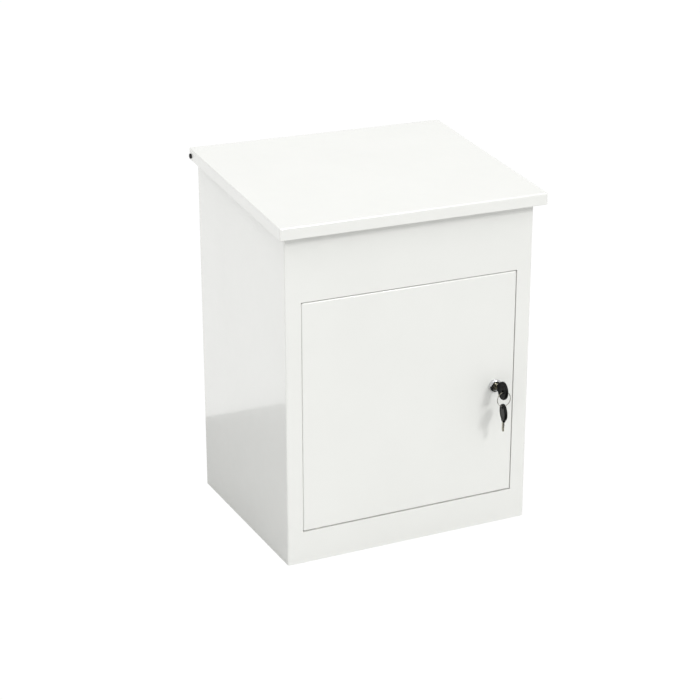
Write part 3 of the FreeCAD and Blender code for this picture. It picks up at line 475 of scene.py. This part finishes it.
def seal_strip(low, high, lengthways):
    """One strip, with the long edges of its front face rounded over."""
    strip = block("seal_strip", low, high)
    front = low[1]
    pick(strip, lambda at, edge: at.y < front + TINY and
         abs((edge.verts[0].co - edge.verts[1].co).normalized()[lengthways]) > 0.9, "EDGE")
    bpy.ops.mesh.bevel(offset=seal_crown, segments=6)
    done(strip, 40)
    return strip


depth = (seal_low.y, seal_high.y)
side_x = seal_high.x - seal_width
strips = [
    seal_strip((side_x, depth[0], seal_low.z), (seal_high.x, depth[1], seal_high.z), 2),
    seal_strip((seal_low.x, depth[0], seal_low.z),
               (side_x - seal_gap, depth[1], seal_low.z + seal_width), 0),
    seal_strip((seal_low.x, depth[0], seal_high.z - seal_width),
               (side_x - seal_gap, depth[1], seal_high.z), 0),
]
fit(joined("door_seal_strips", strips), foam, "casing", "black_rubber", "door_seal")


# ---- door bushes -----------------------------------------------------------------------------
# A flanged nylon bush is pressed into the header and another into the sill. The edges of the
# collar and the mouth of the bore are eased.

nylon_finish, nylon_tree, nylon_shader, nylon_place = principled("nylon", (0.78, 0.76, 0.68), 0.42)
tint(nylon_tree, noise(nylon_tree, nylon_place, scale=160, detail=3),
     (0.70, 0.68, 0.60), (0.80, 0.78, 0.71), nylon_shader.inputs["Base Color"])
vary(nylon_tree, noise(nylon_tree, nylon_place, scale=500, detail=2), 0.36, 0.5,
     nylon_shader.inputs["Roughness"])
raise_surface(nylon_tree, nylon_shader, noise(nylon_tree, nylon_place, scale=900, detail=2),
              height=0.00001)
nylon_shader.inputs["Subsurface Weight"].default_value = 0.15
nylon_shader.inputs["Subsurface Radius"].default_value = (0.002, 0.002, 0.0015)

bush_bore = 2.46 * MM
bush_radius = 3.6 * MM
collar = 1.0 * MM
ease = 0.25 * MM


def door_bush(name, cad_name, seat, way):
    """A bush whose collar's outer face lies at seat, with its barrel going way (1 up, -1 down)."""
    low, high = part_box(cad_name)
    centre = ((low.x + high.x) / 2, (low.y + high.y) / 2, seat)
    collar_radius = (high.x - low.x) / 2
    length = high.z - low.z
    profile = [
        (bush_bore, way * ease),
        (bush_bore + ease, 0),
        (collar_radius - ease, 0),
        (collar_radius, way * ease),
        (collar_radius, way * (collar - ease)),
        (collar_radius - ease, way * collar),
        (bush_radius, way * collar),
        (bush_radius, way * (length - 2 * ease)),
        (bush_radius - ease, way * length),
        (bush_bore + ease, way * length),
        (bush_bore, way * (length - ease)),
    ]
    bush = turned(name, centre, "z", profile, hollow=True)
    fit(bush, nylon_finish, "casing", "nylon", cad_name)


door_bush("bush_upper", "door_bush_top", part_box("door_bush_top")[0].z, 1)
door_bush("bush_lower", "door_bush_bottom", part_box("door_bush_bottom")[1].z, -1)


# ---- trim round the rim ----------------------------------------------------------------------
# U-shaped black rubber trim is pushed over the front panel's and the side walls' top edges.
# Its crown and the edges of its feet are rounded, and the closed lid rests on it.

trim_rubber = rubber("trim_rubber", tone=0.022, roughness=0.55, grain=900, height=0.00002)
sheet_thick = 1.2 * MM
trim_wall = 1.5 * MM
trim_crown = 1.4 * MM
foot_round = 0.5 * MM
trim_height = 8.5 * MM
slot_depth = 6.0 * MM
front_crown_drop = 0.45 * MM


def subtract(piece, cutter, operation="DIFFERENCE"):
    """Cut one piece with another, which is then thrown away."""
    tool = piece.modifiers.new("cut", "BOOLEAN")
    tool.operation = operation
    tool.object = cutter
    tool.solver = "EXACT"
    bpy.context.view_layer.objects.active = piece
    bpy.ops.object.modifier_apply(modifier="cut")
    bpy.data.objects.remove(cutter)


def trim(name, run, crown_height, start, end, middle, rise):
    """A length of trim along axis run, made level and then raised at its far end."""
    wide = 1 - run
    half = sheet_thick / 2 + trim_wall
    foot_height = crown_height - trim_height
    low, high = [0, 0, foot_height], [0, 0, crown_height]
    low[run], high[run] = start, end
    low[wide], high[wide] = middle - half, middle + half
    piece = block(name, low, high)
    for height, offset in ((crown_height, trim_crown), (foot_height, foot_round)):
        pick(piece, lambda at, edge: abs(at.z - height) < TINY and
             abs((edge.verts[0].co - edge.verts[1].co).normalized()[run]) > 0.9, "EDGE")
        bpy.ops.mesh.bevel(offset=offset, segments=8)
    done(piece)
    low[run], high[run] = start - MM, end + MM
    low[wide], high[wide] = middle - sheet_thick / 2, middle + sheet_thick / 2
    low[2], high[2] = foot_height - MM, foot_height + slot_depth
    slot = block("slot", low, high)
    done(slot)
    subtract(piece, slot)
    edit(piece)
    pick(piece, lambda at, vert: at[run] > end - TINY, "VERT")
    bpy.ops.transform.translate(value=(0, 0, rise))
    done(piece)
    return piece


front_trim_low, front_trim_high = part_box("rim_trim_front")
wall_middle = casing_high.x - sheet_thick / 2
for side, label in ((-1, "left"), (1, "right")):
    trim_low, trim_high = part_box("rim_trim_" + label)
    slope = (trim_high.z - front_trim_high.z) / (trim_high.y - front_trim_high.y)
    rise = slope * (trim_high.y - trim_low.y)
    side_trim = trim("trim_" + label, 1, trim_high.z - rise, trim_low.y, trim_high.y,
                     side * wall_middle, rise)
    fit(side_trim, trim_rubber, "casing", "black_rubber", "rim_trim_" + label)
front_trim = trim("trim_front", 0, front_trim_high.z - front_crown_drop, front_trim_low.x,
                  front_trim_high.x, casing_low.y + sheet_thick / 2, 0)
fit(front_trim, trim_rubber, "casing", "black_rubber", "rim_trim_front")


# ---- lid hinge -------------------------------------------------------------------------------
# A plated rod runs across the box through two welded plates. Nylon sleeves keep the lid's skirt
# off the walls, and a black push-on cap closes each end of the rod.

finish_nodes(white_coat, "hinge_plate_left", "hinge_plate_right")
finish_nodes(zinc, "hinge_rod")
rod_low, rod_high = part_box("hinge_rod")
rod_y = (rod_low.y + rod_high.y) / 2
rod_z = (rod_low.z + rod_high.z) / 2
rod_radius = (rod_high.z - rod_low.z) / 2

spacer_ease = 0.5 * MM
for label in ("left", "right"):
    spacer_low, spacer_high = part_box("hinge_spacer_" + label)
    outer = (spacer_high.z - spacer_low.z) / 2
    waist = outer - spacer_ease / 2
    length = spacer_high.x - spacer_low.x
    sleeve = turned("sleeve_" + label, (spacer_low.x, rod_y, rod_z), "x", [
        (rod_radius, 0),
        (outer - spacer_ease, 0),
        (outer, spacer_ease),
        (outer, length * 0.36),
        (waist, length * 0.4),
        (waist, length * 0.6),
        (outer, length * 0.64),
        (outer, length - spacer_ease),
        (outer - spacer_ease, length),
        (rod_radius, length),
    ], hollow=True)
    fit(sleeve, nylon_finish, "casing", "nylon", "hinge_spacer_" + label)


def moulded_plastic(name, tone, roughness, height):
    """Black moulded plastic: an even tone, flow marks in its gloss and a very fine grain."""
    finish, tree, shader, place = principled(name, (tone,) * 3, roughness)
    tint(tree, noise(tree, place, scale=120, detail=3), (tone * 0.8,) * 3, (tone * 1.25,) * 3,
         shader.inputs["Base Color"])
    vary(tree, noise(tree, place, scale=260, detail=4), roughness * 0.8, roughness * 1.25,
         shader.inputs["Roughness"])
    raise_surface(tree, shader, noise(tree, place, scale=1500, detail=2), height)
    shader.inputs["Specular IOR Level"].default_value = 0.14
    return finish


black_plastic = moulded_plastic("black_plastic", tone=0.003, roughness=0.4, height=0.000002)
cap_low, cap_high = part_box("hinge_caps")
cap_radius = (cap_high.z - cap_low.z) / 2
cap_length = 2.2 * MM
cap_wall = 1.0 * MM
cap_ease = 0.2 * MM
cap_middle = 0.4 * MM
caps = []
for label, end, way in (("left", cap_low.x, 1), ("right", cap_high.x, -1)):
    caps.append(turned("cap_" + label, (end, rod_y, rod_z), "x", [
        (cap_middle, way * cap_wall),
        (rod_radius, way * cap_wall),
        (rod_radius, way * cap_length),
        (cap_radius - cap_ease, way * cap_length),
        (cap_radius, way * (cap_length - cap_ease)),
        (cap_radius, way * 0.9 * MM),
        (cap_radius * 0.9, way * 0.35 * MM),
        (cap_radius * 0.6, way * 0.08 * MM),
        (cap_middle, 0),
    ]))
fit(joined("rod_caps", caps), black_plastic, "casing", "black_plastic", "hinge_caps")


# ---- lid -------------------------------------------------------------------------------------
# A folded and coated tray with a skirt all round. Two rails and a hat-shaped brace are welded
# under it, and it overhangs the front so that fingers can lift it.

finish_nodes(white_coat, "lid_cover", "lid_brace", "lid_rail_left", "lid_rail_right")


# ---- scoop -----------------------------------------------------------------------------------
# A plate with a turned-up end hangs behind the load between two side guards, and lifts into a
# shelf when the lid is opened. Four plated pan-head screws and nuts fix it to the rails.

finish_nodes(white_coat, "scoop_plate", "scoop_cheek_left", "scoop_cheek_right")


def cross_recess(piece, centre, axis, size, depth):
    """Press a cross slot into a screw's head, centred on a point of its face."""
    half_long = size / 2
    half_wide = size / 9
    ways = [way for way in "xyz" if way != axis]
    for long_way in ways:
        reach = Vector((depth,) * 3)
        for way in ways:
            reach["xyz".index(way)] = half_long if way == long_way else half_wide
        slot = block("slot", Vector(centre) - reach, Vector(centre) + reach)
        done(slot)
        subtract(piece, slot)


def hexagon(name, centre, axis, across, thick, bore):
    """A nut: a six-sided ring with both rims chamfered."""
    corner = across / 2 / math.cos(math.pi / 6)
    bpy.ops.mesh.primitive_cylinder_add(vertices=6, radius=corner, depth=thick,
                                        location=centre, rotation=FACING[axis])
    nut = bpy.context.object
    nut.name = name
    bpy.ops.object.transform_apply(location=True, rotation=True, scale=True)
    half = thick / 2
    rim = across / 2 * 0.95
    chamfer = thick * 0.14
    beyond = corner * 1.001
    bevelled = turned("chamfer", centre, axis, [
        (rim, -half - TINY),
        (beyond, -half + chamfer),
        (beyond, half - chamfer),
        (rim, half + TINY),
    ])
    subtract(nut, bevelled, "INTERSECT")
    hole = turned("hole", centre, axis, [(bore, -thick), (bore, thick)])
    subtract(nut, hole)
    done(nut, 25)
    return nut


screw_low, screw_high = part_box("scoop_screws")
screw_radius = 2.0 * MM
screw_head_radius = 3.6 * MM
screw_head = 2.0 * MM
screw_ease = 0.3 * MM
screw_recess = 1.1 * MM
guard_sheet = 1.5 * MM
nut_thick = 3.0 * MM
nut_across = 6.2 * MM
screw_reach = 2 * guard_sheet + nut_thick
hinge_to_near = 47.5 * MM
hinge_to_far = 152.0 * MM
guard_face = screw_high.x - nut_thick - 2 * guard_sheet
near_screw = (rod_y - hinge_to_near, screw_high.z - screw_head_radius)
far_screw = (rod_y - hinge_to_far, screw_low.z + screw_head_radius)
screws = []
for side in (-1, 1):
    for y, z in (near_screw, far_screw):
        x = side * guard_face
        screw = turned("screw", (x, y, z), "x", [
            (screw_ease, -side * screw_head),
            (screw_head_radius * 0.45, -side * screw_head * 0.97),
            (screw_head_radius * 0.8, -side * screw_head * 0.8),
            (screw_head_radius, -side * screw_head * 0.42),
            (screw_head_radius, 0),
            (screw_radius, 0),
            (screw_radius, side * (screw_reach - screw_ease)),
            (screw_radius - screw_ease, side * screw_reach),
        ], sides=32)
        cross_recess(screw, (x - side * screw_head, y, z), "x", screw_head_radius, screw_recess)
        nut_middle = (x + side * (2 * guard_sheet + nut_thick / 2), y, z)
        nut = hexagon("nut", nut_middle, "x", nut_across, nut_thick, screw_radius)
        screws += [screw, nut]
fit(joined("scoop_screw_set", screws), zinc, "lid", "zinc_plated_steel", "scoop_screws")


# ---- door ------------------------------------------------------------------------------------
# A pan with folded edges and a hat-shaped stiffener welded up its inside, coated like the
# casing. It turns on two plated pins that stand up and down in the bushes.

finish_nodes(white_coat, "door_panel", "door_stiffener", "lock_plate")
finish_nodes(zinc, "door_pin_top", "door_pin_bottom")


# ---- cam lock --------------------------------------------------------------------------------
# A die-cast barrel with a domed, chromed bezel goes through the door and is clamped by a plated
# nut. The plug turns in it, and a pan-head screw holds the flat cam on the plug's end.

chrome = metal("chrome", dark=(0.62, 0.63, 0.64), light=(0.78, 0.78, 0.78), roughness=0.07,
               grain=400, height=0.0000008)
nickel = metal("nickel", dark=(0.46, 0.44, 0.36), light=(0.60, 0.58, 0.50), roughness=0.26,
               grain=260, stretch=(1, 0.2, 1))

bezel_low, bezel_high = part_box("lock_housing")
lock_x = (bezel_low.x + bezel_high.x) / 2
lock_z = (bezel_low.z + bezel_high.z) / 2
face_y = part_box("door_panel")[0].y
lock_face = (lock_x, face_y, lock_z)
bezel_radius = (bezel_high.x - bezel_low.x) / 2
bezel_out = face_y - bezel_low.y
barrel_end = bezel_high.y - face_y
barrel_radius = 9.0 * MM
thread_depth = 0.45 * MM
thread_pitch = 1.0 * MM
plug_bore = 6.5 * MM
bezel_ease = 0.3 * MM
thread_start = 2.0 * MM
thread = []
turn = 2.2 * MM
while turn < barrel_end - thread_pitch:
    thread.append((barrel_radius - thread_depth, turn))
    thread.append((barrel_radius - thread_depth, turn + thread_pitch * 0.15))
    thread.append((barrel_radius, turn + thread_pitch * 0.5))
    thread.append((barrel_radius, turn + thread_pitch * 0.65))
    turn += thread_pitch
housing = turned("lock_barrel", lock_face, "y", [
    (plug_bore, 0.4 * MM - bezel_out),
    (plug_bore + bezel_ease, -bezel_out),
    (7.6 * MM, -bezel_out),
    (8.3 * MM, 0.15 * MM - bezel_out),
    (9.1 * MM, 0.6 * MM - bezel_out),
    (9.8 * MM, 1.3 * MM - bezel_out),
    (10.25 * MM, 2.2 * MM - bezel_out),
    (bezel_radius, 3.2 * MM - bezel_out),
    (bezel_radius, -bezel_ease),
    (bezel_radius - bezel_ease, 0),
    (barrel_radius, 0),
    (barrel_radius, thread_start),
] + thread + [
    (barrel_radius - thread_depth, barrel_end),
    (plug_bore, barrel_end),
], hollow=True, sides=64)
fit(housing, chrome, "door", "chrome", "lock_housing")

nut_low, nut_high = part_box("lock_nut")
nut_middle = (lock_x, (nut_low.y + nut_high.y) / 2, lock_z)
clamp_nut_across = 24.0 * MM
clamp_nut = hexagon("lock_clamp_nut", nut_middle, "y", clamp_nut_across,
                    nut_high.y - nut_low.y, barrel_radius)
fit(clamp_nut, zinc, "door", "zinc_plated_steel", "lock_nut")

finish_nodes(nickel, "lock_plug")
finish_nodes(zinc, "lock_cam")

cam_screw_low, cam_screw_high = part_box("cam_screw")
cam_head = cam_screw_high.y - cam_screw_low.y
cam_head_radius = (cam_screw_high.x - cam_screw_low.x) / 2
cam_face = (lock_x, cam_screw_low.y, lock_z)
cam_recess = 1.3 * MM
cam_screw = turned("cam_pan_screw", cam_face, "y", [
    (1.0 * MM, 0),
    (cam_head_radius, 0),
    (cam_head_radius, cam_head * 0.5),
    (cam_head_radius * 0.9, cam_head * 0.78),
    (cam_head_radius * 0.6, cam_head * 0.96),
    (0.4 * MM, cam_head),
])
cross_recess(cam_screw, (lock_x, cam_screw_high.y, lock_z), "y", cam_head_radius * 1.1,
             cam_recess)
done(cam_screw, 25)
fit(cam_screw, zinc, "lock_core", "zinc_plated_steel", "cam_screw")


# ---- keys ------------------------------------------------------------------------------------
# Flat nickel-plated blades with milled grooves and cuts go into moulded black heads. Each head
# has a raised rim, a sunk panel, a collar round the blade, and a hole for the ring.

blade_thick = 2.0 * MM
blade_width = 7.6 * MM
blade_length = 6.0 * MM
bow_out = 26.0 * MM
bow_long = 28.9 * MM
bow_short = 26.0 * MM
bow_thick = 5.0 * MM
bow_hole = 2.5 * MM
hole_flare = 1.0 * MM
boss_wall = 1.3 * MM
boss_ease = 0.2 * MM
bow_rim = 2.6 * MM
bow_round = 1.4 * MM
panel_slope = 0.5 * MM
panel_depth = 0.55 * MM
neck_out = 5 * MM
neck_sunk = 2.0 * MM
neck_half = 5.4 * MM
neck_round = 0.9 * MM
inner_end = -(bow_out - bow_short / 2)
blade_sunk = 6.0 * MM
neck_start = inner_end - blade_sunk
cut_depths = (0.9 * MM, 1.6 * MM, 0.6 * MM, 1.2 * MM)
cut_flat = 0.8 * MM
blade_tip = 2.0 * MM
blade_plain = 4.0 * MM
blade_edge = 0.12 * MM
groove_start = -13 * MM
groove_rise = 0.9 * MM
groove_half = 0.6 * MM
groove_depth = 0.45 * MM


def make_blade(name):
    """A blade along Y at the origin. Its lower edge is stepped as it is drawn out to the tip."""
    half = blade_width / 2
    blade = block(name, (-blade_thick / 2, neck_start, -half),
                  (blade_thick / 2, -blade_plain - MM, half))
    pitch = (blade_length - blade_tip + blade_plain) / len(cut_depths)
    stations = [(-blade_plain, -half)]
    for i, deep in reversed(list(enumerate(cut_depths))):
        middle = blade_length - blade_tip - (i + 0.5) * pitch
        stations.append((middle - cut_flat / 2, deep - half))
        stations.append((middle + cut_flat / 2, deep - half))
        stations.append((middle + pitch / 2, -half))
    end, low = -blade_plain - MM, -half
    for place, height in stations:
        pick(blade, lambda at, face: at.y > end - TINY)
        bpy.ops.mesh.extrude_region_move()
        bpy.ops.transform.translate(value=(0, place - end, 0))
        pick(blade, lambda at, vert: at.y > place - TINY and at.z < 0, "VERT")
        bpy.ops.transform.translate(value=(0, 0, height - low))
        end, low = place, height
    pick(blade, lambda at, face: at.y > end - TINY)
    bpy.ops.mesh.extrude_region_move()
    bpy.ops.transform.translate(value=(0, blade_length - 0.2 * MM - end, 0))
    bpy.ops.transform.resize(value=(0.8, 1, 0.12))
    done(blade)
    for side in (-1, 1):
        face_x = side * blade_thick / 2
        groove_z = side * groove_rise
        groove = block("groove", (face_x - groove_depth, groove_start, groove_z - groove_half),
                       (face_x + groove_depth, blade_length + MM, groove_z + groove_half))
        done(groove)
        subtract(blade, groove)
    edge = blade.modifiers.new("edge", "BEVEL")
    edge.width = blade_edge
    edge.segments = 2
    edge.limit_method = "ANGLE"
    edge.angle_limit = math.radians(40)
    bpy.ops.object.modifier_apply(modifier="edge")
    done(blade)
    return blade


def make_bow(name, hole_offset):
    """A head at the origin, flat across X, for a blade along Y."""
    centre = (0, -bow_out, 0)
    bpy.ops.mesh.primitive_circle_add(vertices=72, radius=bow_long / 2, fill_type="NGON",
                                      location=(-bow_thick / 2, -bow_out, 0),
                                      rotation=FACING["x"])
    bow = bpy.context.object
    bow.name = name
    bpy.ops.object.transform_apply(location=True, rotation=True, scale=True)
    edit(bow)
    bpy.ops.mesh.select_all(action="SELECT")
    bpy.ops.transform.resize(value=(1, bow_short / bow_long, 1), center_override=centre)
    bpy.ops.mesh.extrude_region_move()
    bpy.ops.transform.translate(value=(bow_thick, 0, 0))
    for face_x in (-bow_thick / 2, bow_thick / 2):
        inward = -1 if face_x > 0 else 1
        pick(bow, lambda at, face: abs(at.x - face_x) < TINY and len(face.verts) > 8)
        bpy.ops.mesh.inset(thickness=bow_rim, depth=0)
        bpy.ops.mesh.inset(thickness=panel_slope, depth=0)
        bpy.ops.transform.translate(value=(inward * panel_depth, 0, 0))
    pick(bow, lambda at, edge: abs(abs(at.x) - bow_thick / 2) < TINY and
         any(abs(face.normal.x) < 0.1 for face in edge.link_faces), "EDGE")
    bpy.ops.mesh.bevel(offset=bow_round, segments=6)
    done(bow)
    neck = block("collar", (-bow_thick * 0.44, inner_end - neck_out, -neck_half),
                 (bow_thick * 0.44, inner_end + neck_sunk, neck_half))
    pick(neck, lambda at, edge: True, "EDGE")
    bpy.ops.mesh.bevel(offset=neck_round, segments=4)
    done(neck)
    subtract(bow, neck, "UNION")
    hole_y = -bow_out - hole_offset
    boss = turned("boss", (0, hole_y, 0), "x", [
        (bow_hole + boss_wall - boss_ease, -bow_thick / 2 + 0.15 * MM),
        (bow_hole + boss_wall, -bow_thick / 2 + 0.4 * MM),
        (bow_hole + boss_wall, bow_thick / 2 - 0.4 * MM),
        (bow_hole + boss_wall - boss_ease, bow_thick / 2 - 0.15 * MM),
    ])
    subtract(bow, boss, "UNION")
    hole = turned("hole", (0, hole_y, 0), "x", [
        (bow_hole + hole_flare, -bow_thick / 2 - 0.3 * MM),
        (bow_hole, -bow_thick / 2 + 0.7 * MM),
        (bow_hole, bow_thick / 2 - 0.7 * MM),
        (bow_hole + hole_flare, bow_thick / 2 + 0.3 * MM),
    ])
    subtract(bow, hole)
    done(bow, 35)
    return bow


lock_hole_offset = 3.5 * MM
blade_in = make_blade("blade_in_lock")
bow_in = make_bow("bow_in_lock", lock_hole_offset)
for part in (blade_in, bow_in):
    edit(part)
    bpy.ops.mesh.select_all(action="SELECT")
    bpy.ops.transform.translate(value=lock_face)
    done(part)
fit(blade_in, nickel, "key", "nickel_plate", "key_blade")
fit(bow_in, black_plastic, "key", "black_plastic", "key_bow")

ring_low, ring_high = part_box("key_ring")
ring_wire = (ring_high.y - ring_low.y) / 2
ring_radius = (ring_high.x - ring_low.x) / 2 - ring_wire
ring_middle = (ring_low + ring_high) / 2
spare_hole_offset = 9.0 * MM
spare_turn = math.radians(14)
spare_blade = make_blade("blade_of_spare")
spare_bow = make_bow("bow_of_spare", spare_hole_offset)
spare_low, spare_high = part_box("spare_bow")
for part in (spare_blade, spare_bow):
    edit(part)
    bpy.ops.mesh.select_all(action="SELECT")
    bpy.ops.transform.translate(value=(0, bow_out, 0))
    bpy.ops.transform.rotate(value=math.pi / 2, orient_axis="X", center_override=(0, 0, 0))
    bpy.ops.transform.rotate(value=spare_turn, orient_axis="Z", center_override=(0, 0, 0))
    bpy.ops.transform.translate(value=(spare_low + spare_high) / 2)
    done(part)
fit(spare_blade, nickel, "spare_key", "nickel_plate", "spare_blade")
fit(spare_bow, black_plastic, "spare_key", "black_plastic", "spare_bow")


# ---- key ring --------------------------------------------------------------------------------
# A split ring: flat spring wire wound twice round, with the two turns pressed together and
# their ends cut square.

wire_flat = ring_wire / 3
wire_stretch = 1.6
coil_gap = 6
coil_steps = 160
bpy.ops.mesh.primitive_circle_add(vertices=12, radius=wire_flat, fill_type="NOTHING",
                                  location=(ring_radius, wire_flat - ring_wire, 0))
ring = bpy.context.object
ring.name = "split_ring"
bpy.ops.object.transform_apply(location=True, rotation=True, scale=True)
edit(ring)
bpy.ops.mesh.select_all(action="SELECT")
bpy.ops.transform.resize(value=(wire_stretch, 1, 1))
bpy.ops.object.mode_set(mode="OBJECT")
coil = ring.modifiers.new("coil", "SCREW")
coil.axis = "Y"
coil.angle = math.radians(2 * 360 - coil_gap)
coil.screw_offset = 4 * wire_flat
coil.steps = coil_steps
coil.render_steps = coil_steps
bpy.ops.object.modifier_apply(modifier="coil")
edit(ring)
bpy.ops.mesh.select_mode(type="EDGE")
bpy.ops.mesh.select_non_manifold()
bpy.ops.mesh.fill_holes(sides=0)
bpy.ops.mesh.select_all(action="SELECT")
bpy.ops.transform.translate(value=ring_middle)
done(ring)
fit(ring, nickel, "ring", "nickel_plate", "key_ring")
